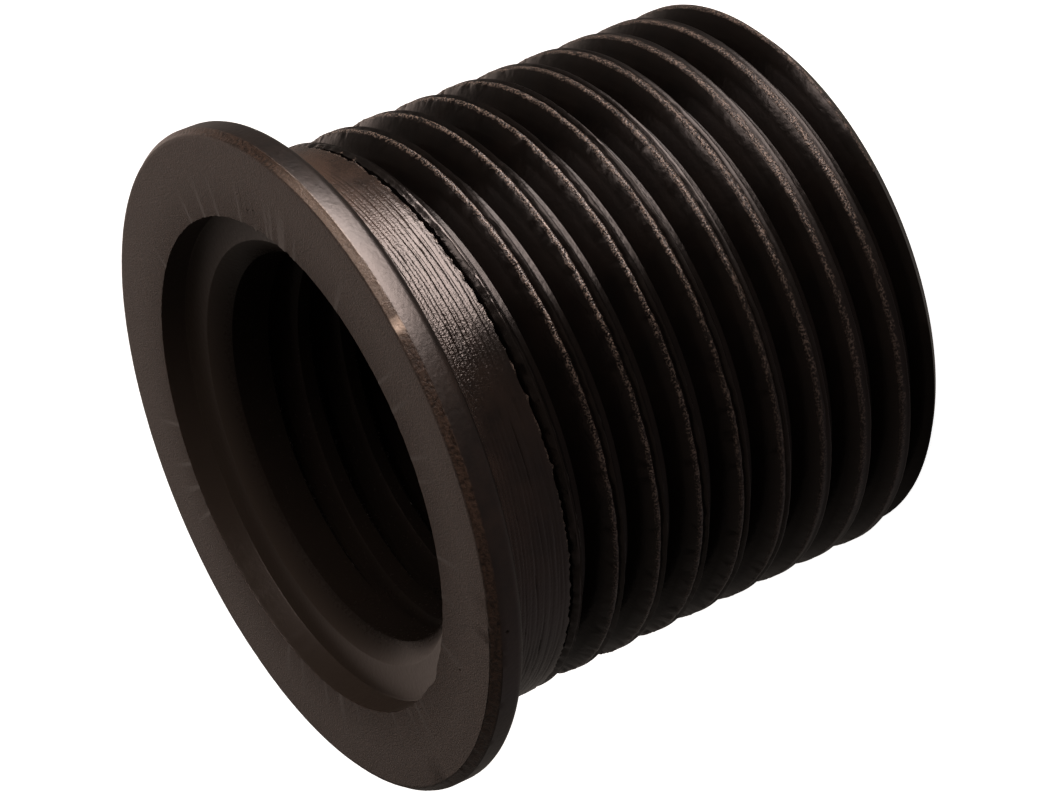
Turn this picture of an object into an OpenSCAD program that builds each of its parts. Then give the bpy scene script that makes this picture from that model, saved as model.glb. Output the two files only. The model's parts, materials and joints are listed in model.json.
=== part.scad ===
// Flanged threaded insert, one turned piece.
// It stands on its threaded end: bottom centre at the origin, flange up, axis along +Z.
// Sizes are in millimetres.

/* [Body] */
// Overall length, from the threaded end to the flange face
total_h = 17.4; // [15.5:0.1:24]
// Wall of the sleeve, from the outer crests to the inner crests
sleeve_wall = 2.7; // [2.55:0.05:3.2]

/* [Flange] */
// How far the flange stands out past the neck
flange_overhang = 1.57; // [0.8:0.01:3]
// Flange thickness
flange_t = 1.08; // [0.95:0.01:1.5]
// Bevel on the face edge, measured across the face
face_bevel_w = 0.24; // [0.08:0.02:0.4]
// Bevel on the face edge, measured down the rim
face_bevel_h = 0.34; // [0.1:0.02:0.5]
// Rounding radius of the rear rim corner
rear_round_r = 0.3; // [0.1:0.02:0.4]

/* [Neck] */
// How far the plain neck stands over the thread crests
neck_step = 0.03; // [0.02:0.01:0.3]
// Depth below the face to which the neck is a plain cylinder
neck_end = 3; // [2.4:0.05:3.1]

/* [Outer thread] */
// Diameter over the thread crests
outer_crest_d = 17.8; // [14:0.1:24]
// Thread pitch, outside and inside
pitch = 1.5; // [1.4:0.05:1.6]
// Width of the flat crest
crest_flat = 0.46; // [0.4:0.01:0.5]
// Depth of the groove between two crests
groove_depth = 0.76; // [0.6:0.01:0.78]
// Depth below the face of the first full groove, on the -Y side
first_groove = 4.47; // [4.3:0.01:5.2]
// Width of the narrow seam in which the groove runs out at the neck
seam_w = 0.14; // [0.08:0.01:0.2]
// Depth of that seam
seam_depth = 0.26; // [0.1:0.01:0.4]
// Drop of that seam from the middle of the full groove's path
seam_drop = 0.62; // [0.55:0.01:0.66]
// Chamfer of the threaded end
end_chamfer = 0.42; // [0.2:0.02:0.6]

/* [Bore] */
// Wall of the neck around the counterbore
counterbore_wall = 1.08; // [0.7:0.01:1.3]
// Depth of the counterbore wall
counterbore_h = 0.87; // [0.5:0.01:1.2]
// Fall of the counterbore floor from its wall to the lead-in
floor_fall = 0.12; // [0.06:0.02:0.3]
// Lead-in chamfer of the inner thread
lead_in = 0.55; // [0.4:0.05:0.8]
// Depth of the groove of the inner thread
inner_depth = 0.8; // [0.6:0.01:0.9]
// Chamfer of the bore at the threaded end
bore_end_chamfer = 0.5; // [0.3:0.05:0.8]
// Height of the plain wall at the flange end of the inner thread
land_top_h = 0.35; // [0.3:0.05:0.6]
// Height of the plain wall at the threaded end of the inner thread
land_end_h = 0.8; // [0.6:0.05:1.2]

/* [Hidden] */
$fn = 96;
oxide = [0.09, 0.075, 0.07];

flank_tan = tan(30);
crest_r = outer_crest_d / 2;
neck_r = crest_r + neck_step;
flange_r = neck_r + flange_overhang;
flange_z = total_h - flange_t;
flange_mid_z = total_h - flange_t / 2;
counterbore_r = neck_r - counterbore_wall;
bore_r = crest_r - sleeve_wall;
bore_top_z = total_h - counterbore_h - floor_fall - lead_in;
overcut = 1;

// Outer groove. Each form is [drop below the helix, width at the crest, width at the root, depth].
// Helix angles count up towards the flange, and -90 is the -Y side of the first full groove.
outer_steps = 60;
groove_w = pitch - crest_flat;
faint_w = 0.05;
faint_depth = 0.03;
full_form = [0, groove_w, groove_w - 2 * groove_depth * flank_tan, groove_depth];
seam_form = [seam_drop, seam_w, seam_w / 3, seam_depth];
faint_form = [seam_drop, faint_w, faint_w / 2, faint_depth];
front_angle = -90;
full_until = -5;
seam_from = 185;
seam_until = 355;
groove_gone = 380;
outer_turns = ceil((total_h - first_groove) / pitch) + 2;
outer_count = outer_turns * outer_steps;
outer_start = groove_gone - 360 * outer_turns;

// Inner groove. Its core is a hair wider than the bore, so both ends keep a plain round wall.
inner_steps = 40;
core_gap = 0.01;
core_r = bore_r / cos(180 / inner_steps) + core_gap;
inner_root_w = pitch / 8;
inner_mouth_w = inner_root_w + 2 * inner_depth * flank_tan;
core_low_z = bore_end_chamfer + land_end_h;
core_high_z = bore_top_z - land_top_h;
inner_fade_steps = 24;
inner_count = floor((core_high_z - core_low_z - inner_mouth_w) / pitch * inner_steps);
inner_start_z = core_low_z + inner_mouth_w / 2;

insert();

module insert()
{
    color(oxide)
    difference()
    {
        union()
        {
            flange_and_neck();
            intersection()
            {
                outer_thread_rod();
                end_trim();
            }
        }
        bore();
        inner_thread_rod();
    }
}

// Flange with a bevelled face edge and a rounded rear corner, and the plain neck.
module flange_and_neck()
{
    rim_r = flange_r - rear_round_r;
    round_z = flange_z + rear_round_r;
    rotate_extrude()
    union()
    {
        translate([0, total_h - neck_end]) square([neck_r, neck_end - flange_t / 2]);
        translate([rim_r, round_z]) circle(r = rear_round_r);
        polygon([
            [0, flange_z],
            [rim_r, flange_z],
            [rim_r, round_z],
            [flange_r, round_z],
            [flange_r, total_h - face_bevel_h],
            [flange_r - face_bevel_w, total_h],
            [0, total_h]
        ]);
    }
}

// Envelope of the threaded end: its cone cuts the end chamfer into the crests.
module end_trim()
{
    rotate_extrude()
    polygon([
        [0, 0],
        [crest_r - end_chamfer, 0],
        [crest_r + overcut, end_chamfer + overcut],
        [crest_r + overcut, flange_mid_z],
        [0, flange_mid_z]
    ]);
}

// Counterbore, slightly conical floor, lead-in chamfer, through bore and end chamfer.
module bore()
{
    rotate_extrude()
    polygon([
        [0, -overcut],
        [bore_r + bore_end_chamfer + overcut, -overcut],
        [bore_r, bore_end_chamfer],
        [bore_r, bore_top_z],
        [bore_r + lead_in, bore_top_z + lead_in],
        [counterbore_r, total_h - counterbore_h],
        [counterbore_r, total_h + overcut],
        [0, total_h + overcut]
    ]);
}

// Share of the way from a to b that x has gone, held between 0 and 1.
function ramp(x, a, b) = min(1, max(0, (x - a) / (b - a)));

function mix(a, b, share) = a + (b - a) * share;

// Section of a groove or ridge: four [radius, height] pairs, lower edge first.
function section(z, edge_r, edge_w, root_r, root_w) = [
    [edge_r, z - edge_w / 2],
    [root_r, z - root_w / 2],
    [root_r, z + root_w / 2],
    [edge_r, z + edge_w / 2]
];

// Height of the outer helix at an angle.
function outer_z(angle) = total_h - first_groove + pitch * (angle - front_angle) / 360;

// The outer groove is full, then narrows to the seam, then fades out in the neck.
function outer_section(angle) =
    let (
        narrowed = mix(full_form, seam_form, ramp(angle, full_until, seam_from)),
        form = mix(narrowed, faint_form, ramp(angle, seam_until, groove_gone))
    )
    section(outer_z(angle) - form[0], crest_r, form[1], crest_r - form[3], form[2]);

// The inner groove grows from nothing at one end and fades to nothing at the other.
function inner_section(step) =
    let (
        size = min(ramp(step, -1, inner_fade_steps), ramp(inner_count - step, -1, inner_fade_steps)),
        depth = inner_depth * size
    )
    section(
        inner_start_z + pitch * step / inner_steps,
        core_r, inner_root_w + 2 * depth * flank_tan,
        core_r + depth, inner_root_w
    );

module outer_thread_rod()
{
    sections = [for (i = [0:outer_count]) outer_section(outer_start + 360 * i / outer_steps)];
    helical_rod(sections, outer_steps, outer_start, crest_r, outer_z(outer_start) - pitch, flange_mid_z);
}

module inner_thread_rod()
{
    sections = [for (i = [0:inner_count]) inner_section(i)];
    helical_rod(sections, inner_steps, 0, core_r, core_low_z, core_high_z);
}

// Closed rod with a helical groove or ridge, given as one section after another, steps to a turn.
module helical_rod(sections, steps, start, rod_r, low_z, high_z)
{
    corners = len(sections[0]);
    edge = corners - 1;
    last = corners * (len(sections) - 1);
    turn = corners * steps;
    first = last - turn;
    low = last + corners;
    high = low + steps;
    turned = (len(sections) - 1) % steps;

    along = [
        for (i = [0:len(sections) - 1]) let (a = start + 360 * i / steps)
        for (p = sections[i]) [p[0] * cos(a), p[0] * sin(a), p[1]]
    ];
    rings = [
        for (z = [low_z, high_z])
        for (k = [0:steps - 1]) let (a = start + 360 * k / steps)
        [rod_r * cos(a), rod_r * sin(a), z]
    ];
    groove = [
        for (a = [0:corners:last - corners], j = [0:edge - 1]) let (p = a + j, q = p + corners)
        for (f = [[p, p + 1, q + 1], [p, q + 1, q]]) f
    ];
    crests = [
        for (a = [0:corners:first - corners]) let (p = a + edge, q = a + turn)
        for (f = [[p, q, q + corners], [p, q + corners, p + corners]]) f
    ];
    low_wall = [
        for (k = [0:steps - 2]) [low + k, corners * k, corners * (k + 1), low + k + 1]
    ];
    low_close = [low + steps - 1, turn - corners, turn, edge, 0, low];
    high_wall = [
        for (k = [1:steps - 1]) let (p = first + corners * k + edge)
        [p, high + (turned + k) % steps, high + (turned + k + 1) % steps, p + corners]
    ];
    high_close = [
        first + corners + edge, first + edge, last, last + edge,
        high + turned, high + (turned + 1) % steps
    ];
    groove_ends = [
        [for (j = [0:edge]) edge - j],
        [for (j = [0:edge]) last + j]
    ];
    caps = [
        [for (k = [0:steps - 1]) low + k],
        [for (k = [1:steps]) high + steps - k]
    ];

    polyhedron(
        points = concat(along, rings),
        faces = concat(groove, crests, low_wall, [low_close], high_wall, [high_close], groove_ends, caps)
    );
}
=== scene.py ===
"""Flanged threaded insert in black-oxide steel, standing on its threaded end.

Shapes are worked out in millimetres on the CAD frame's own sizes and scaled to metres at the end.
Angles run counter-clockwise from +X seen from above, and -Y is the side that the photo shows.
"""
import json
import math

import bpy
import numpy as np
from mathutils import Euler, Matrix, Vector

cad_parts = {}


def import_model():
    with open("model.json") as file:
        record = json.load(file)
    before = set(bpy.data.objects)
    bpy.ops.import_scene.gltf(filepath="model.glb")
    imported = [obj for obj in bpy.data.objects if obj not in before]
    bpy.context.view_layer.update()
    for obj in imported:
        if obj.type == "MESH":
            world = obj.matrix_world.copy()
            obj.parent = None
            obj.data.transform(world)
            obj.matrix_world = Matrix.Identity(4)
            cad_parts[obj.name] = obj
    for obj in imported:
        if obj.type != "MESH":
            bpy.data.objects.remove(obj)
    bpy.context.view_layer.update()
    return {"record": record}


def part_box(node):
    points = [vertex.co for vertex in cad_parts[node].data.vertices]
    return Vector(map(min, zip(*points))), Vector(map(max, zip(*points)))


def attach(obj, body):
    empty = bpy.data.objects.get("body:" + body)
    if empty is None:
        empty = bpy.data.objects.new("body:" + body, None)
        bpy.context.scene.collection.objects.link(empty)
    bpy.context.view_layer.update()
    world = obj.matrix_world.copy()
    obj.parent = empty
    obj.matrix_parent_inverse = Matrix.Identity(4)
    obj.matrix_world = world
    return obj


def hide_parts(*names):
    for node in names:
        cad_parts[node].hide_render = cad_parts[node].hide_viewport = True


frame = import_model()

NODE = "insert"
MM = 0.001
rng = np.random.default_rng(18)

# Sizes read from the frame, in mm
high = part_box(NODE)[1]
TOTAL_H = high[2] / MM
FLANGE_R = high[0] / MM
mounts = {m["name"]: m for m in frame["record"]["mounts"]}
NECK_R = mounts["neck"]["dims"]["r_mm"]
CREST_R = mounts["outer_thread"]["dims"]["r_mm"]
BORE_R = mounts["inner_thread"]["dims"]["r_mm"]
FLANGE_Z = mounts["flange_seat"]["pos_m"][2] / MM

# Outer thread, in mm and degrees. The groove narrows to a crack under the neck, then fades out
PITCH = 1.5
CREST_FLAT = 0.46
GROOVE_W = PITCH - CREST_FLAT
GROOVE_DEPTH = 0.76
FIRST_GROOVE = 4.47
FRONT_ANGLE = -90
FULL_UNTIL = -5
SEAM_FROM = 185
SEAM_UNTIL = 355
GROOVE_GONE = 380
SEAM_DROP = 0.62
CRACK_W = 0.17
CRACK_DEPTH = 0.4
CRACK_TAN = 0.12
FAINT_W = 0.05
FAINT_DEPTH = 0.03
UNDER_NECK_R = CREST_R - 0.24
END_CHAMFER = 0.42
FLANK_TAN = math.tan(math.radians(30))

# Flange and bore, in mm
FACE_BEVEL_W = 0.18
FACE_BEVEL_H = 0.25
REAR_ROUND = 0.3
COUNTERBORE_R = NECK_R - 1.08
COUNTERBORE_H = 0.87
FLOOR_FALL = 0.12
LEAD_IN = 0.55
INNER_DEPTH = 0.8
BORE_END_CHAMFER = 0.5
LAND_TOP_H = 0.35
LAND_END_H = 0.8
COUNTERBORE_Z = TOTAL_H - COUNTERBORE_H
BORE_TOP_Z = COUNTERBORE_Z - FLOOR_FALL - LEAD_IN

# How far tools reach past what they cut, and parts into each other before they are joined, in mm
OVERCUT = 1
OVERLAP = 0.5

# Mesh steps to a turn, rows up the neck, and sines in a wave
FINE = 450
COARSE = 150
INNER_STEPS = 120
NECK_ROWS = 104
WAVE_SINES = 24

# Places round the part, in degrees: the middle, and for most also how far it reaches and how far it is full
WORN_BEVEL = (208, 42, 14)
# Stretch of the face bevel painted paler, as a painted highlight
GLINT_ON_BEVEL = (-60, 24, 8)
BARE_NICK = (-77, 1.8, 0.4)
CHIPPED_MOUTH = (204, 5, 1)
FRAYED_MOUTH = (324, 14, 6)
# Side of the neck painted a lighter tan, as painted light where the lamps fall
LIT_NECK_TAN = (-10, 62, 30)
SMOOTH_NECK = -10
# Side on which the thread's lips are painted lighter, as a painted highlight
LIGHT_ANGLE = -42

# Heights between which wear or a finish sets in, in mm
RAGGED_LIPS = (3.0, 9.0)
DEEP_FOLDS = (4.0, 9.5)
CRISP_CRESTS = (4.0, 11.0)
FULL_NECK_FINISH = (14.0, 15.8)
STRONG_MARKS = (15.3, 16.2)
TAN_BY_FLANGE = (15.2, 16.2)
SOFT_BY_FLANGE = (15.55, 15.75)
BROWN_BORE = (TOTAL_H - 1.6, TOTAL_H - 0.9)

# Small pits that the photo shows: radius, angle in degrees, distance below the face, width and depth, in mm
PITS = {
    "nick_in_bevel": (10.42, -77.0, 0.10, 0.16, 0.07),
    "speck_on_rim": (10.5, -129.0, 0.45, 0.16, 0.05),
    "speck_on_face": (8.86, -144.3, 0.0, 0.14, 0.04),
    "pinhole_1": (8.36, -29.6, 0.0, 0.10, 0.06),
    "pinhole_2": (8.46, -32.0, 0.0, 0.08, 0.05),
    "pinhole_3": (8.62, -27.5, 0.0, 0.06, 0.04),
}

# Directions from the part: down to the photo's table, to the table's lit part, and to the room's soft fill
TABLE_SIDE = (-0.607, 0.788, -0.1)
LIT_SIDE = (0.60, 0.70, 0.36)
FILL_SIDE = (-0.797, -0.46, -0.39)


def ramp(x, a, b):
    """Share of the way from a to b that x has gone, held between 0 and 1."""
    return np.clip((x - a) / (b - a), 0.0, 1.0)


def mix(a, b, share):
    return a + (b - a) * share


def smooth(x):
    """Eases a share in and out."""
    return x * x * (3 - 2 * x)


def peak(x, width):
    """Bell curve, 1 at 0 and falling off over about the given width."""
    return np.exp(-((x / width) ** 2))


def away(angle, centre):
    """Degrees between two angles, the shorter way round."""
    return np.abs((angle - centre + 180) % 360 - 180)


def near(angle, centre, far, close):
    """1 within close degrees of the centre, easing to 0 at far degrees."""
    return smooth(ramp(-away(angle, centre), -far, -close))


def polar(r, angle, z):
    """Points from radius, angle in degrees and height. Radius and height may be one number for all angles."""
    a = np.radians(angle)
    return np.stack([r * np.cos(a), r * np.sin(a), z + 0 * a], -1)


class Wave:
    """Repeatable smooth noise along a line: a few random sines, about -1 to 1. Wavelengths in mm."""

    def __init__(self, shortest, longest):
        self.rate = 2 * math.pi / np.geomspace(shortest, longest, WAVE_SINES)
        self.phase = rng.uniform(0, 2 * math.pi, WAVE_SINES)
        self.size = rng.uniform(0.5, 1.0, WAVE_SINES)
        self.size /= np.sqrt((self.size**2).sum() / 2)

    def __call__(self, x):
        x = np.asarray(x, float)[..., None]
        return (np.sin(x * self.rate + self.phase) * self.size).sum(-1) / 2


# Worn edges: the waves that they follow, and how far, in mm
lip_break = Wave(0.12, 0.9)
lip_rise = Wave(0.16, 2.5)
bead_path = Wave(0.5, 6)
fold_path = Wave(0.5, 6)
seam_break = Wave(0.14, 1.6)
seam_path = Wave(3, 30)
LIP_BREAK = 0.03
LIP_RISE = 0.012
BEAD_SWING = 0.01
FOLD_SWING = 0.02
SEAM_BREAK = 0.05
SEAM_BURR = 0.02
SEAM_SWING = 0.02

# Turning marks on the neck, in mm
MARK_COUNT = 17
MARK_HEIGHTS = np.arange(13.9, 16.25, 0.14) + rng.uniform(-0.06, 0.06, MARK_COUNT)
MARK_STRENGTHS = rng.uniform(0.25, 0.8, MARK_COUNT) + 0.55 * ramp(MARK_HEIGHTS, *STRONG_MARKS)
MARK_WIDTHS = rng.uniform(0.02, 0.036, MARK_COUNT)
MARK_PATHS = [Wave(0.9, 9) for _ in range(5)]
MARK_DEPTH = 0.024
MARK_SWING = 0.028
RELIEF_Z = 15.86
RELIEF_W = 0.11


class Mesh:
    """Vertices and faces gathered row by row."""

    def __init__(self):
        self.points = []
        self.faces = []
        self.count = 0

    def row(self, points):
        """Adds one row of points and returns their indices."""
        self.points.append(np.asarray(points, float))
        start = self.count
        self.count += len(points)
        return np.arange(start, self.count)

    def ring(self, r, angles, z):
        """Adds one round row, and returns it with its first point again at the end."""
        row = self.row(polar(r, angles, z))
        return np.append(row, row[0])

    def face(self, corners):
        self.faces.append([int(v) for v in corners])

    def caps(self, bottom, top):
        """Closes one ring downward and one upward."""
        self.face(bottom[:-1][::-1])
        self.face(top[:-1])

    def strip(self, lower, upper):
        """Faces between two rows. One row may have a whole multiple of the other's steps."""
        if len(lower) == len(upper):
            self.faces += np.stack([lower[:-1], lower[1:], upper[1:], upper[:-1]], 1).tolist()
            return
        few_below = len(upper) > len(lower)
        few, many = (lower, upper) if few_below else (upper, lower)
        each = (len(many) - 1) // (len(few) - 1)
        for i in range(len(few) - 1):
            fan = many[i * each : (i + 1) * each + 1]
            if few_below:
                self.face([few[i], few[i + 1], *fan[::-1]])
            else:
                self.face([*fan, few[i + 1], few[i]])

    def solid(self, rings):
        """Joins rings one after another, up the outside, and closes both ends."""
        for lower, upper in zip(rings, rings[1:]):
            self.strip(lower, upper)
        self.caps(rings[0], rings[-1])

    def build(self, name):
        me = bpy.data.meshes.new(name)
        me.from_pydata(np.concatenate(self.points).tolist(), [], self.faces)
        me.update()
        ob = bpy.data.objects.new(name, me)
        bpy.context.scene.collection.objects.link(ob)
        return ob


def turned(name, profile, wobble=None):
    """Closed body of revolution.

    profile runs up the outside as (radius, height), and starts and ends on the axis. wobble(k, angles, r)
    says how far out and up the k-th point off the axis moves at each angle.
    """
    mesh = Mesh()
    angles = np.arange(FINE) * 360 / FINE
    rings = []
    for k, (r, z) in enumerate(profile[1:-1]):
        out, up = wobble(k, angles, r) if wobble else (0, 0)
        rings.append(mesh.ring(r + out, angles, z + up))
    mesh.solid(rings)
    return mesh.build(name)


def helical_rod(name, rows_of, kinds, start, turns, fine, coarse, rod_r, low_z, high_z):
    """Closed rod whose surface follows a helix from the angle start, with flat ends at low_z and high_z.

    rows_of(angles) gives, for helix angles in degrees, one (radius, height) pair for each point of a
    section, from its lower edge up. kinds says for each of those points whether its row has fine or coarse
    steps to a turn. The last point of a section meets the first of the same angle one turn up.
    """
    mesh = Mesh()
    grids = {}
    for steps in {fine, coarse}:
        angles = start + 360 / steps * np.arange(int(turns * steps) + 1)
        grids[steps] = (angles, rows_of(angles))
    rows = []
    for k, is_fine in enumerate(kinds):
        angles, section = grids[fine if is_fine else coarse]
        r, z = section[k]
        rows.append(mesh.row(polar(r, angles, z)))
    for lower, upper in zip(rows, rows[1:]):
        mesh.strip(lower, upper)

    # Turn to turn, then both round ends
    once = start + 360 / fine * np.arange(fine)
    bottom = mesh.ring(rod_r, once, low_z)
    top = mesh.ring(rod_r, once, high_z)
    first, last = rows[0], rows[-1]
    first_section = [row[0] for row in rows]
    last_section = [row[-1] for row in rows]
    mesh.strip(last[:-fine], first[fine:])
    mesh.strip(bottom[:fine], first[:fine])
    mesh.face([bottom[fine - 1], bottom[fine], *first_section, first[fine], first[fine - 1]])
    mesh.strip(last[-fine:], top[1:])
    mesh.face([last[-fine - 1], last[-fine], top[1], top[0], *last_section[::-1]])
    mesh.caps(bottom, top)
    return mesh.build(name)


def outer_z(angle):
    """Height of the middle of the outer groove at a helix angle."""
    return TOTAL_H - FIRST_GROOVE + PITCH * (angle - FRONT_ANGLE) / 360


def outer_rows(angles):
    """Section of one pitch, from the fold in the crest below the groove to the fold in the crest above it.

    Each crest is rolled over: a rough broken lip on its upper side and a smooth bead on its lower side meet
    in a fold. The lips are ragged near the neck and softer towards the threaded end.
    """
    z = outer_z(angles)
    along = np.radians(angles) * CREST_R
    one_turn = 2 * math.pi * CREST_R
    narrow = ramp(angles, FULL_UNTIL, SEAM_FROM)
    gone = ramp(angles, SEAM_UNTIL, GROOVE_GONE)

    # Groove
    middle = z - SEAM_DROP * narrow
    width = mix(mix(GROOVE_W, CRACK_W, narrow), FAINT_W, gone)
    depth = mix(mix(GROOVE_DEPTH, CRACK_DEPTH, narrow), FAINT_DEPTH, gone)
    lean = mix(FLANK_TAN, CRACK_TAN, narrow)
    root_w = np.maximum(width - 2 * depth * lean, CRACK_W / 3)
    low_edge = middle - width / 2
    high_edge = middle + width / 2
    crest_low = low_edge - CREST_FLAT / 2
    crest_high = high_edge + CREST_FLAT / 2
    under = mix(CREST_R, UNDER_NECK_R, smooth(ramp(angles, FULL_UNTIL + 90, SEAM_FROM)))

    # Wear
    ragged = mix(0.35, 1.0, smooth(ramp(z, *RAGGED_LIPS)))
    rough = LIP_BREAK * ragged * np.abs(lip_break(along)) * (1 - 0.5 * gone)
    rise = LIP_RISE * ragged * lip_rise(along)
    step = LIP_BREAK * ragged * lip_break(along + 40)
    drop = mix(0.075, 0.03, narrow)
    slope = mix(0.06, 0.015, narrow)
    fold = FOLD_SWING * fold_path(along)
    next_fold = FOLD_SWING * fold_path(along + one_turn)
    bead = BEAD_SWING * bead_path(along)
    dip = 0.012 + 0.11 * smooth(ramp(z, *DEEP_FOLDS))
    tilt = mix(0.05, 0.012, smooth(ramp(angles, SEAM_FROM + 105, SEAM_FROM + 130)))
    tilt *= smooth(ramp(angles, SEAM_FROM - 60, SEAM_FROM + 30)) * (1 - gone)

    lip_side = [
        (CREST_R - dip, crest_low - 0.09 + fold),
        (CREST_R - 0.5 * dip, crest_low - 0.035 + fold),
        (CREST_R - 0.008 + rise, crest_low + 0.025 + 0.5 * fold),
        (CREST_R - 0.002 - 0.25 * tilt + rise - 0.5 * rough, crest_low + 0.07),
        (CREST_R - 0.018 - 0.7 * tilt - rough, low_edge - 0.12 + step * 0.6),
        (CREST_R - drop - 1.5 * tilt - 1.8 * rough, low_edge - slope + step),
    ]
    groove = [
        (CREST_R - 0.4 * depth - 0.03, low_edge + 0.4 * depth * lean),
        (CREST_R - depth, middle - root_w / 2),
        (CREST_R - depth, middle + root_w / 2),
        (under - 0.35 * depth, high_edge - 0.35 * depth * lean),
    ]
    bead_side = [
        (under - 0.055, high_edge - 0.014),
        (under - 0.013, high_edge + 0.004 + bead),
        (under, high_edge + 0.026 + bead),
        (under - 0.12 * dip, high_edge + 0.052 + bead),
        (under - 0.6 * dip, crest_high - 0.135 + next_fold),
    ]
    return lip_side + groove + bead_side


# Which of those rows are fine: lip and bead, but not the groove between them
OUTER_KINDS = [True] * 6 + [False] * 4 + [True] * 5


def outer_rod():
    """The threaded sleeve, still solid, up into the flange."""
    turns = math.ceil((TOTAL_H - FIRST_GROOVE) / PITCH) + 2
    start = GROOVE_GONE - 360 * turns
    low_z = outer_z(start) - PITCH
    high_z = FLANGE_Z + 0.4
    return helical_rod(
        "outer_rod", outer_rows, OUTER_KINDS, start, turns, FINE, COARSE, UNDER_NECK_R, low_z, high_z
    )


def end_trim():
    """Envelope of the threaded end, whose cone cuts the end chamfer into the crests."""
    profile = [
        (0, 0),
        (CREST_R - END_CHAMFER, 0),
        (CREST_R - END_CHAMFER + 0.02, 0.006),
        (CREST_R + OVERCUT, END_CHAMFER + OVERCUT),
        (CREST_R + OVERCUT, FLANGE_Z + OVERLAP),
        (0, FLANGE_Z + OVERLAP),
    ]
    return turned("end_trim", profile)


def neck_low_edge(angle):
    """Height at which the neck's skin ends, for 0 to 360 degrees: the upper edge of the groove or crack."""
    last = np.where(angle < GROOVE_GONE - 360, angle + 360, angle)
    narrow = ramp(last, FULL_UNTIL, SEAM_FROM)
    width = mix(GROOVE_W, CRACK_W, narrow)
    here = outer_z(last) - SEAM_DROP * narrow + width / 2
    next_start = outer_z(GROOVE_GONE - 360) + GROOVE_W / 2 - 0.2
    return mix(here, next_start, smooth(ramp(last, SEAM_UNTIL, GROOVE_GONE)))


def turning_marks(z, angle):
    """Turning marks on the neck as shares of MARK_DEPTH.

    They are narrow scratches that wander, fade and meet, and one wide shallow relief. The scratches are
    faint where the photo's neck is smooth.
    """
    along = np.radians(angle) * NECK_R
    marks = 0 * along
    for k, height in enumerate(MARK_HEIGHTS):
        path = height + MARK_SWING * MARK_PATHS[k % len(MARK_PATHS)](along + 7 * k)
        strength = MARK_STRENGTHS[k] + 0.45 * MARK_PATHS[(k + 2) % len(MARK_PATHS)](along + 31 * k)
        marks = np.maximum(marks, np.clip(strength, 0.0, 1.6) * peak(z - path, MARK_WIDTHS[k]))
    marks *= mix(0.15, 1.0, smooth(ramp(away(angle, SMOOTH_NECK), 15, 40)))
    return np.maximum(marks, 1.2 * peak(z - RELIEF_Z, RELIEF_W))


def neck_skin():
    """The plain neck with its turning marks and the ragged lower edge that hangs over the crack."""
    mesh = Mesh()
    fine = np.arange(FINE) * 360 / FINE
    coarse = np.arange(COARSE) * 360 / COARSE
    along = np.radians(fine) * NECK_R
    edge = neck_low_edge(fine) + SEAM_SWING * seam_path(along)
    ragged = SEAM_BREAK * seam_break(along)
    burr = SEAM_BURR * np.abs(seam_break(along + 90))
    rings = [
        mesh.ring(UNDER_NECK_R - OVERLAP, fine, edge + OVERLAP),
        mesh.ring(UNDER_NECK_R - 0.02, fine, edge + 0.08 + ragged),
        mesh.ring(NECK_R - 0.09, fine, edge + ragged),
        mesh.ring(NECK_R - 0.02 + burr, fine, edge + 0.02 + ragged),
        mesh.ring(NECK_R - 0.006, fine, edge + 0.09 + 0.5 * ragged),
    ]
    wall_low = neck_low_edge(coarse) + 0.14
    wall_high = FLANGE_Z + 0.04
    for k in range(NECK_ROWS + 1):
        z = mix(wall_low, wall_high, k / NECK_ROWS)
        rings.append(mesh.ring(NECK_R - MARK_DEPTH * turning_marks(z, coarse), coarse, z))
    rings.append(mesh.ring(NECK_R - OVERLAP, coarse, FLANGE_Z + 0.3))
    mesh.solid(rings)
    return mesh.build("neck_skin")


def flange_body():
    """Flange disc: rounded rear corner, straight rim, and a face bevel that is worn wider on one side."""
    round_r = FLANGE_R - REAR_ROUND
    round_z = FLANGE_Z + REAR_ROUND
    rear = [
        (round_r + REAR_ROUND * math.sin(t), round_z - REAR_ROUND * math.cos(t))
        for t in np.radians(np.arange(0, 91, 15))
    ]
    bevel_low = TOTAL_H - FACE_BEVEL_H
    bevel_in = FLANGE_R - FACE_BEVEL_W
    bevel = [
        (FLANGE_R - 0.012, bevel_low + 0.025),
        (FLANGE_R - 0.11, mix(bevel_low, TOTAL_H, 0.42)),
        (bevel_in + 0.03, TOTAL_H - 0.035),
        (bevel_in - 0.01, TOTAL_H - 0.004),
    ]
    profile = [
        (0, FLANGE_Z),
        (CREST_R - 1, FLANGE_Z),
        *rear,
        (FLANGE_R, bevel_low - 0.2),
        (FLANGE_R, bevel_low - 0.03),
        *bevel,
        (bevel_in - 0.1, TOTAL_H),
        (FLANGE_R - 1.2, TOTAL_H),
        (COUNTERBORE_R - 1, TOTAL_H),
        (0, TOTAL_H),
    ]
    first_bevel = profile.index(bevel[0]) - 1
    wave = Wave(3, 30)
    chip = Wave(0.2, 1.2)
    swing, wear, chipping, grain, burr = 0.012, 0.12, 0.05, 0.006, 0.012

    def wobble(k, angles, r):
        """Moves the bevel's edges in, most on the worn side, and lowers its inner edge unevenly there."""
        row = k - first_bevel
        if row not in range(len(bevel)):
            return 0, 0
        along = np.radians(angles) * r
        worn = near(angles, *WORN_BEVEL)
        edge = swing * wave(along) + (wear + chipping * chip(along)) * worn + grain * chip(along + 50)
        inward = edge * (0.3 + 0.23 * row)
        down = burr * np.maximum(chip(along), 0) * worn if row == len(bevel) - 1 else 0
        return -np.maximum(inward, -0.001), -down

    return turned("flange_body", profile, wobble)


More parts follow.
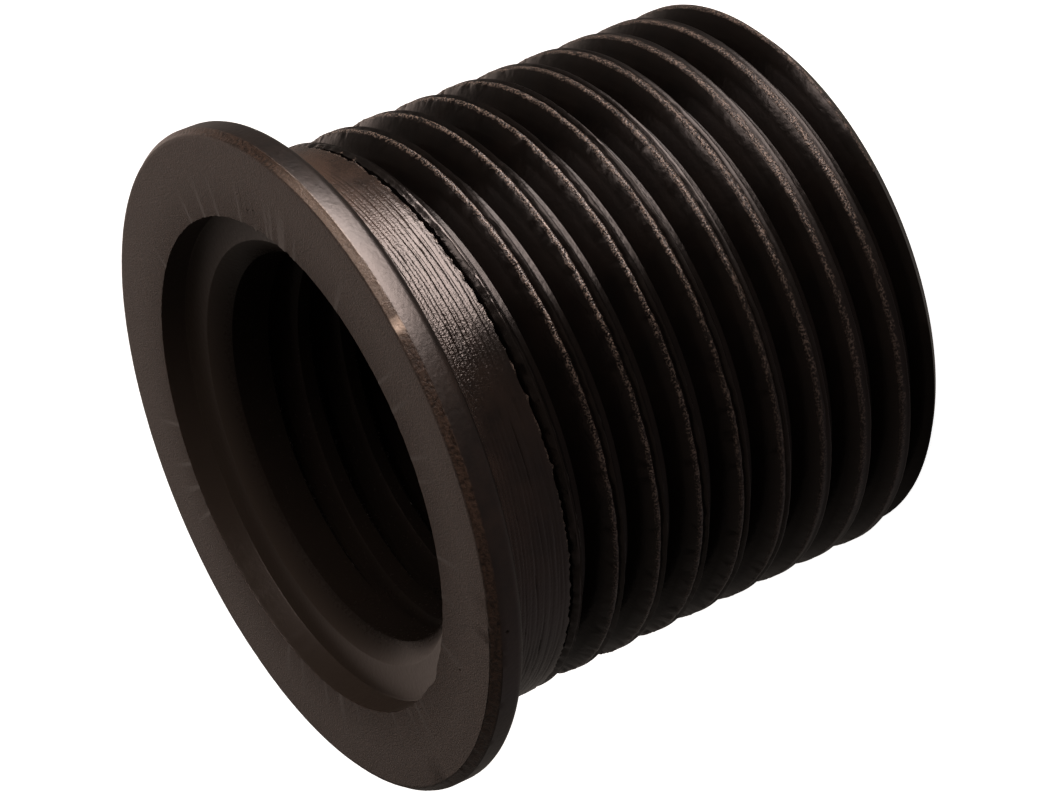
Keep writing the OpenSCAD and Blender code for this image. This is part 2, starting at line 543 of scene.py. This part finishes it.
def bore_cutter():
    """Counterbore with a slightly ragged mouth, conical floor, lead-in and through bore."""
    inside = [
        (0, -OVERCUT),
        (BORE_R + BORE_END_CHAMFER + OVERCUT, -OVERCUT),
        (BORE_R, BORE_END_CHAMFER),
        (BORE_R, BORE_TOP_Z),
        (BORE_R + LEAD_IN, BORE_TOP_Z + LEAD_IN),
        (BORE_R + LEAD_IN + 0.04, BORE_TOP_Z + LEAD_IN + 0.012),
        (COUNTERBORE_R - 0.06, COUNTERBORE_Z - 0.006),
        (COUNTERBORE_R - 0.012, COUNTERBORE_Z + 0.025),
        (COUNTERBORE_R, COUNTERBORE_Z + 0.08),
        (COUNTERBORE_R, TOTAL_H - 0.13),
    ]
    mouth = [
        (COUNTERBORE_R, TOTAL_H - 0.05),
        (COUNTERBORE_R + 0.004, TOTAL_H - 0.012),
        (COUNTERBORE_R + 0.012, TOTAL_H + 0.01),
        (COUNTERBORE_R + 0.012, TOTAL_H + OVERCUT),
    ]
    first_mouth = len(inside) - 1
    nick = Wave(0.13, 1.1)
    ragged, fraying, chip_depth = 0.012, 0.03, 0.1

    def wobble(k, angles, r):
        """Frays the mouth a little all round and more at one place, and chips it at another."""
        if k < first_mouth:
            return 0, 0
        along = np.radians(angles) * COUNTERBORE_R
        frayed = near(angles, *FRAYED_MOUTH)
        chip = near(angles, *CHIPPED_MOUTH)
        return (ragged + fraying * frayed) * nick(along) + chip_depth * chip, 0

    return turned("bore_cutter", inside + mouth + [(0, TOTAL_H + OVERCUT)], wobble)


def inner_rod():
    """Male thread that cuts the inner one, tapering to nothing at both ends of the bore."""
    low_z = BORE_END_CHAMFER + LAND_END_H
    high_z = BORE_TOP_Z - LAND_TOP_H
    core = BORE_R + 0.004
    root_w = PITCH / 8
    mouth_w = root_w + 2 * INNER_DEPTH * FLANK_TAN
    turns = math.floor((high_z - low_z - mouth_w) / PITCH * INNER_STEPS) / INNER_STEPS
    end = 360 * turns
    taper_from, taper_until = -4, 240
    edge_round = 0.05

    def rows_of(angles):
        z = low_z + mouth_w / 2 + PITCH * angles / 360
        from_start = ramp(angles, taper_from, taper_until)
        from_end = ramp(end - angles, taper_from, taper_until)
        size = smooth(np.minimum(from_start, from_end))
        depth = INNER_DEPTH * size
        wide = root_w + 2 * depth * FLANK_TAN
        return [
            (core, z - wide / 2),
            (core + edge_round * size, z - wide / 2 + edge_round * size),
            (core + depth, z - root_w / 2),
            (core + depth, z + root_w / 2),
            (core + edge_round * size, z + wide / 2 - edge_round * size),
            (core, z + wide / 2),
        ]

    return helical_rod(
        "inner_rod", rows_of, [True] * 6, 0, turns, INNER_STEPS, INNER_STEPS, core, low_z, high_z
    )


def pits():
    """Small eight-sided tools, in one mesh, that cut the nick, specks and pinholes."""
    mesh = Mesh()
    for r, angle, below, width, depth in PITS.values():
        a = math.radians(angle)
        out = np.array([math.cos(a), math.sin(a), 0])
        side = np.array([-math.sin(a), math.cos(a), 0])
        up = np.array([0, 0, 1])
        centre = out * r + up * (TOTAL_H - below)
        half = width / 2
        on_side = below > 0
        half_out = depth if on_side else half
        half_up = half if on_side else depth
        ends = [out * half_out, side * half, -out * half_out, -side * half, up * half_up, -up * half_up]
        v = mesh.row([centre + e for e in ends])
        for k in range(4):
            n = (k + 1) % 4
            mesh.face([v[k], v[n], v[4]])
            mesh.face([v[n], v[k], v[5]])
    return mesh.build("pits")


def boolean(ob, tool, operation):
    """Applies one exact boolean and removes the tool."""
    mod = ob.modifiers.new(operation, "BOOLEAN")
    mod.operation = operation
    mod.object = tool
    mod.solver = "MANIFOLD"
    depsgraph = bpy.context.evaluated_depsgraph_get()
    result = bpy.data.meshes.new_from_object(ob.evaluated_get(depsgraph))
    ob.modifiers.clear()
    old, ob.data = ob.data, result
    bpy.data.meshes.remove(old)
    bpy.data.objects.remove(tool)
    return ob


def insert_piece():
    """The whole insert as one closed mesh, still in mm."""
    body = boolean(outer_rod(), end_trim(), "INTERSECT")
    body = boolean(body, neck_skin(), "UNION")
    body = boolean(body, flange_body(), "UNION")
    body = boolean(body, bore_cutter(), "DIFFERENCE")
    body = boolean(body, inner_rod(), "DIFFERENCE")
    body = boolean(body, pits(), "DIFFERENCE")
    body.name = "insert_visual"
    body.data.name = "insert_visual"
    return body


def finish_and_painted_light_masks(r, angle, z):
    """What each point's finish and painted light depend on, by name, mostly from 0 to 1."""
    skin_edge = neck_low_edge(angle % 360)
    bevel_low = TOTAL_H - FACE_BEVEL_H - 0.01

    # Rough lips of the crests: worn, and painted lighter on the side that the key light catches, as a painted
    # highlight
    on_crest = (r > CREST_R - 0.05) & (r < NECK_R + 0.05) & (z < skin_edge + 0.02)
    phase = ((z - outer_z(angle)) / PITCH) % 1
    lip_phase = 1 - GROOVE_W / PITCH / 2
    on_lip = on_crest & (phase > lip_phase - 0.175) & (phase < lip_phase + 0.03)
    light_side = smooth(ramp(np.cos(np.radians(angle - LIGHT_ANGLE)), 0.55, 0.88))
    lip = on_lip * mix(0.3, 1.0, light_side)

    # Neck, darker near the crack
    on_neck = (r > NECK_R - 0.06) & (r < NECK_R + 0.06) & (z > skin_edge - 0.02) & (z < FLANGE_Z + 0.01)
    neck = on_neck * mix(0.35, 1.0, smooth(ramp(z, *FULL_NECK_FINISH)))
    # Tan: painted light on the side of the neck that faces the lights, and a tan tone by the flange all round
    tan = neck * np.maximum(near(angle, *LIT_NECK_TAN), 0.3 * smooth(ramp(z, *TAN_BY_FLANGE)))

    # Flange
    face = (z > TOTAL_H - 0.02) & (r > COUNTERBORE_R)
    rim = (r > NECK_R + 0.1) & (z <= bevel_low)
    bevel = (r > FLANGE_R - FACE_BEVEL_W - 0.2) & (z > bevel_low) & ~face
    # Bare steel at the nick, and a paler stretch of the bevel that is a painted highlight
    nick = bevel * np.maximum(near(angle, *BARE_NICK), 0.22 * near(angle, *GLINT_ON_BEVEL))

    # Bore and grooves, which gleam less, and the far crests and the neck by the flange, which are softer
    bore = (r < COUNTERBORE_R + 0.06) & ~face
    inside = bore * mix(0.25, 1.0, smooth(ramp(z, *BROWN_BORE)))
    deep = bore | (r < CREST_R - 0.12)
    soft = on_crest * (1 - smooth(ramp(z, *CRISP_CRESTS))) + 1.1 * neck * ramp(z, *SOFT_BY_FLANGE)

    masks = {"lip": lip, "neck": neck, "face": face, "rim": rim, "bevel": bevel}
    masks |= {"inside": inside, "deep": deep, "soft": soft, "tan": tan, "nick": nick}
    return masks


def add_masks(me):
    """Stores the finish and painted-light masks on the mesh's points, and scales it to metres."""
    co = np.empty(3 * len(me.vertices))
    me.vertices.foreach_get("co", co)
    x, y, z = co.reshape(-1, 3).T
    masks = finish_and_painted_light_masks(np.hypot(x, y), np.degrees(np.arctan2(y, x)), z)
    for name, mask in masks.items():
        layer = me.attributes.new(name, "FLOAT", "POINT")
        layer.data.foreach_set("value", mask.astype(np.float32))
    me.vertices.foreach_set("co", co * MM)
    me.update()


class Nodes:
    """Short helpers for building a node tree. A value may be a number, a colour or another node's output."""

    def __init__(self, tree):
        self.tree = tree

    def node(self, kind):
        return self.tree.nodes.new("ShaderNode" + kind)

    def put(self, socket, value):
        if isinstance(value, bpy.types.NodeSocket):
            self.tree.links.new(value, socket)
        else:
            socket.default_value = value

    def math(self, operation, a, b):
        n = self.node("Math")
        n.operation = operation
        self.put(n.inputs[0], a)
        self.put(n.inputs[1], b)
        return n.outputs[0]

    def remap(self, value, from_low, from_high, to_low=0.0, to_high=1.0):
        n = self.node("MapRange")
        for k, v in enumerate((value, from_low, from_high, to_low, to_high)):
            self.put(n.inputs[k], v)
        return n.outputs[0]

    def mix(self, share, a, b):
        n = self.node("Mix")
        n.data_type = "RGBA"
        self.put(n.inputs[0], share)
        self.put(n.inputs[6], a)
        self.put(n.inputs[7], b)
        return n.outputs[2]

    def mask(self, name):
        n = self.node("Attribute")
        n.attribute_name = name
        return n.outputs["Fac"]

    def noise(self, vector, scale, detail, rough=0.6):
        n = self.node("TexNoise")
        self.put(n.inputs["Vector"], vector)
        self.put(n.inputs["Scale"], scale)
        self.put(n.inputs["Detail"], detail)
        self.put(n.inputs["Roughness"], rough)
        return n.outputs["Fac"]

    def bump(self, height, strength, distance, normal=None):
        n = self.node("Bump")
        self.put(n.inputs["Strength"], strength)
        self.put(n.inputs["Distance"], distance)
        self.put(n.inputs["Height"], height)
        if normal:
            self.put(n.inputs["Normal"], normal)
        return n.outputs[0]

    def surface(self, values):
        """Principled shader with the given inputs, on a new material output."""
        shader = self.node("BsdfPrincipled")
        for name, value in values.items():
            self.put(shader.inputs[name], value)
        self.put(self.node("OutputMaterial").inputs["Surface"], shader.outputs[0])


def new_material(name):
    """An empty material, and the helpers for its nodes."""
    material = bpy.data.materials.new(name)
    material.use_nodes = True
    material.node_tree.nodes.clear()
    return material, Nodes(material.node_tree)


def oxide_material():
    """Black oxide over turned steel: warm near-black and satin, with painted highlights on the worn rough lip
    and the face bevel, and painted light on the neck's lit side.
    """
    material, m = new_material("black_oxide_steel")
    place = m.node("TexCoord").outputs["Object"]
    lip, neck, face = m.mask("lip"), m.mask("neck"), m.mask("face")
    rim, bevel, inside = m.mask("rim"), m.mask("bevel"), m.mask("inside")
    deep, soft, tan, nick = m.mask("deep"), m.mask("soft"), m.mask("tan"), m.mask("nick")

    # Noises, finest last
    stain = m.noise(place, 330, 2, 0.5)
    cloud = m.noise(place, 900, 3)
    pebble = m.noise(place, 6500, 2, 0.5)
    grain = m.noise(place, 9000, 4)
    speck = m.noise(place, 16000, 2, 0.5)
    fine_grain = m.noise(place, 18000, 3)

    # Colours
    dark = (0.0016, 0.0013, 0.0012, 1)
    dark_warm = (0.0034, 0.0024, 0.0020, 1)
    inner_brown = (0.018, 0.0140, 0.0115, 1)
    neck_brown = (0.010, 0.0062, 0.0046, 1)
    neck_tan = (0.042, 0.026, 0.019, 1)
    edge_brown = (0.027, 0.0165, 0.0118, 1)
    bare_steel_and_glint = (0.30, 0.24, 0.20, 1)
    face_low = (0.012, 0.0084, 0.0066, 1)
    face_high = (0.030, 0.021, 0.0170, 1)
    worn_lip_and_glint = (0.120, 0.092, 0.078, 1)
    base = m.mix(m.math("MULTIPLY", m.remap(cloud, 0.35, 0.7), 0.6), dark, dark_warm)
    base = m.mix(m.math("MULTIPLY", neck, m.remap(m.math("ADD", cloud, stain), 0.75, 1.2)), base, neck_brown)
    # Lighter tan on the neck: painted light on its lit side, and tan tone by the flange
    base = m.mix(m.math("MULTIPLY", tan, m.remap(cloud, 0.2, 0.55)), base, neck_tan)
    base = m.mix(m.math("MULTIPLY", bevel, m.remap(grain, 0.3, 0.6)), base, edge_brown)
    # Bare steel at the nick, and a painted highlight along a stretch of the bevel
    base = m.mix(nick, base, bare_steel_and_glint)
    base = m.mix(m.math("MULTIPLY", rim, m.remap(cloud, 0.3, 0.9)), base, neck_brown)
    base = m.mix(inside, base, inner_brown)
    base = m.mix(face, base, m.mix(m.remap(grain, 0.35, 0.65), face_low, face_high))
    # Worn rough lip with painted glints, lightest on the side facing the key light
    base = m.mix(m.math("MULTIPLY", lip, m.remap(speck, 0.47, 0.62)), base, worn_lip_and_glint)

    # Roughness, and less gleam in the grooves, in the bore and on the far crests
    rough = m.remap(grain, 0.2, 0.8, 0.17, 0.26)
    for mask, more in ((face, 0.30), (rim, 0.13), (bevel, 0.12), (soft, 0.17), (tan, 0.12), (inside, 0.15)):
        rough = m.math("ADD", rough, m.math("MULTIPLY", mask, more))
    gleam = m.math("SUBTRACT", 0.5, m.math("MULTIPLY", deep, 0.28))
    gleam = m.math("SUBTRACT", gleam, m.math("MULTIPLY", soft, 0.24))

    # Fine texture, with its depth in metres
    normal = m.bump(pebble, 0.35, 0.00002)
    normal = m.bump(speck, m.math("MULTIPLY", neck, 0.9), 0.00002, normal)
    normal = m.bump(speck, lip, 0.00004, normal)
    normal = m.bump(fine_grain, m.math("MULTIPLY", face, 0.8), 0.000028, normal)
    normal = m.bump(grain, m.math("MULTIPLY", bevel, 0.7), 0.00004, normal)

    # A low index and a warm tint, so that the grooves stay as black as in the photo and the gloss is brown
    m.surface({
        "Base Color": base,
        "Roughness": rough,
        "IOR": 1.3,
        "Specular Tint": (1.0, 0.85, 0.79, 1),
        "Specular IOR Level": gleam,
        "Normal": normal,
    })
    return material


def floor():
    """Plain white floor, lit evenly like a light table. It throws no light back and lets light through."""
    half = 0.9
    me = bpy.data.meshes.new("floor")
    corners = [(-half, -half, 0), (half, -half, 0), (half, half, 0), (-half, half, 0)]
    me.from_pydata(corners, [], [(0, 1, 2, 3)])
    ob = bpy.data.objects.new("floor", me)
    bpy.context.scene.collection.objects.link(ob)
    material, m = new_material("floor_white")
    m.surface({
        "Base Color": (0.86, 0.86, 0.86, 1),
        "Roughness": 0.9,
        "Specular IOR Level": 0.0,
        "Emission Color": (1, 1, 1, 1),
        "Emission Strength": 0.95,
    })
    me.materials.append(material)
    ob.visible_glossy = False
    ob.visible_diffuse = False
    ob.visible_shadow = False
    return ob


def area_light(name, azimuth, elevation, width, height, power, colour):
    """Rectangular soft light aimed at the part. Sizes in metres, angles in degrees."""
    distance = 0.16
    target = Vector((0, 0, TOTAL_H * MM * 0.6))
    a, e = math.radians(azimuth), math.radians(elevation)
    out = Vector((math.cos(e) * math.cos(a), math.cos(e) * math.sin(a), math.sin(e)))
    data = bpy.data.lights.new(name, "AREA")
    data.shape = "RECTANGLE"
    data.size, data.size_y = width, height
    data.energy = power
    data.color = colour
    ob = bpy.data.objects.new(name, data)
    ob.location = target + out * distance
    ob.rotation_euler = (-out).to_track_quat("-Z", "Y").to_euler()
    bpy.context.scene.collection.objects.link(ob)
    return ob


def lights():
    """A low key and a small edge light that show only as gloss, and a warm glow that shows only as colour."""
    pale = (1.0, 0.93, 0.90)
    warm = (1.0, 0.84, 0.74)
    key = area_light("key", azimuth=-40, elevation=-9, width=0.14, height=0.11, power=1.6, colour=pale)
    edge = area_light("edge", azimuth=-34, elevation=40, width=0.06, height=0.05, power=0.09, colour=pale)
    glow = area_light("glow", azimuth=-40, elevation=6, width=0.14, height=0.19, power=0.6, colour=warm)
    key.visible_diffuse = False
    edge.visible_diffuse = False
    glow.visible_glossy = False


def world():
    """Surroundings as in the photo, where the part lies on its side on a pale table in a dark room."""
    room_tone = (0.16, 0.14, 0.125, 1)
    fill_tone = (0.38, 0.32, 0.31, 1)
    table_tone = (1.85, 1.48, 1.30, 1)
    surroundings = bpy.data.worlds.new("surroundings")
    surroundings.use_nodes = True
    w = Nodes(surroundings.node_tree)
    place = w.node("TexCoord").outputs["Generated"]

    def toward(direction, start, full):
        """Rises from 0 to 1 as a direction turns toward the given one."""
        dot = w.node("VectorMath")
        dot.operation = "DOT_PRODUCT"
        w.put(dot.inputs[0], place)
        w.put(dot.inputs[1], direction)
        ease = w.node("MapRange")
        ease.interpolation_type = "SMOOTHSTEP"
        w.put(ease.inputs["Value"], dot.outputs["Value"])
        w.put(ease.inputs["From Min"], start)
        w.put(ease.inputs["From Max"], full)
        return ease.outputs[0]

    room = w.mix(toward(FILL_SIDE, 0.35, 0.95), room_tone, fill_tone)
    on_table = w.math("MULTIPLY", toward(TABLE_SIDE, 0.1, 0.55), toward(LIT_SIDE, 0.6, 0.97))
    tone = w.mix(on_table, room, table_tone)
    w.put(surroundings.node_tree.nodes["Background"].inputs["Color"], tone)
    bpy.context.scene.world = surroundings


def camera():
    """The photo's camera, from a fit of its outlines.

    Its place is in mm, its turn in degrees, and its focal length and centre in photo pixels.
    """
    place_mm = (-1.426, -104.527, 61.393)
    turn = (-38.5204, 55.5139, -134.0013)
    focal_px = 3822.85
    photo_w, photo_h = 1060, 795
    centre_px = (528.19, 420.07)
    data = bpy.data.cameras.new("photo_camera")
    data.sensor_fit = "HORIZONTAL"
    data.sensor_width = 36
    data.lens = focal_px / photo_w * data.sensor_width
    data.shift_x = (photo_w / 2 - centre_px[0]) / photo_w
    data.shift_y = (centre_px[1] - photo_h / 2) / photo_w
    data.clip_start = 0.01
    ob = bpy.data.objects.new("photo_camera", data)
    ob.location = Vector(place_mm) * MM
    ob.rotation_euler = Euler([math.radians(t) for t in turn])
    bpy.context.scene.collection.objects.link(ob)
    bpy.context.scene.camera = ob


sharp_from = math.radians(38)
piece = insert_piece()
add_masks(piece.data)
piece.data.materials.clear()
piece.data.materials.append(oxide_material())
piece.data.shade_smooth()
piece.data.set_sharp_from_angle(angle=sharp_from)

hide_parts(NODE)
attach(piece, "root")

floor()
bpy.context.scene.view_settings.view_transform = "Standard"
world()
lights()
camera()
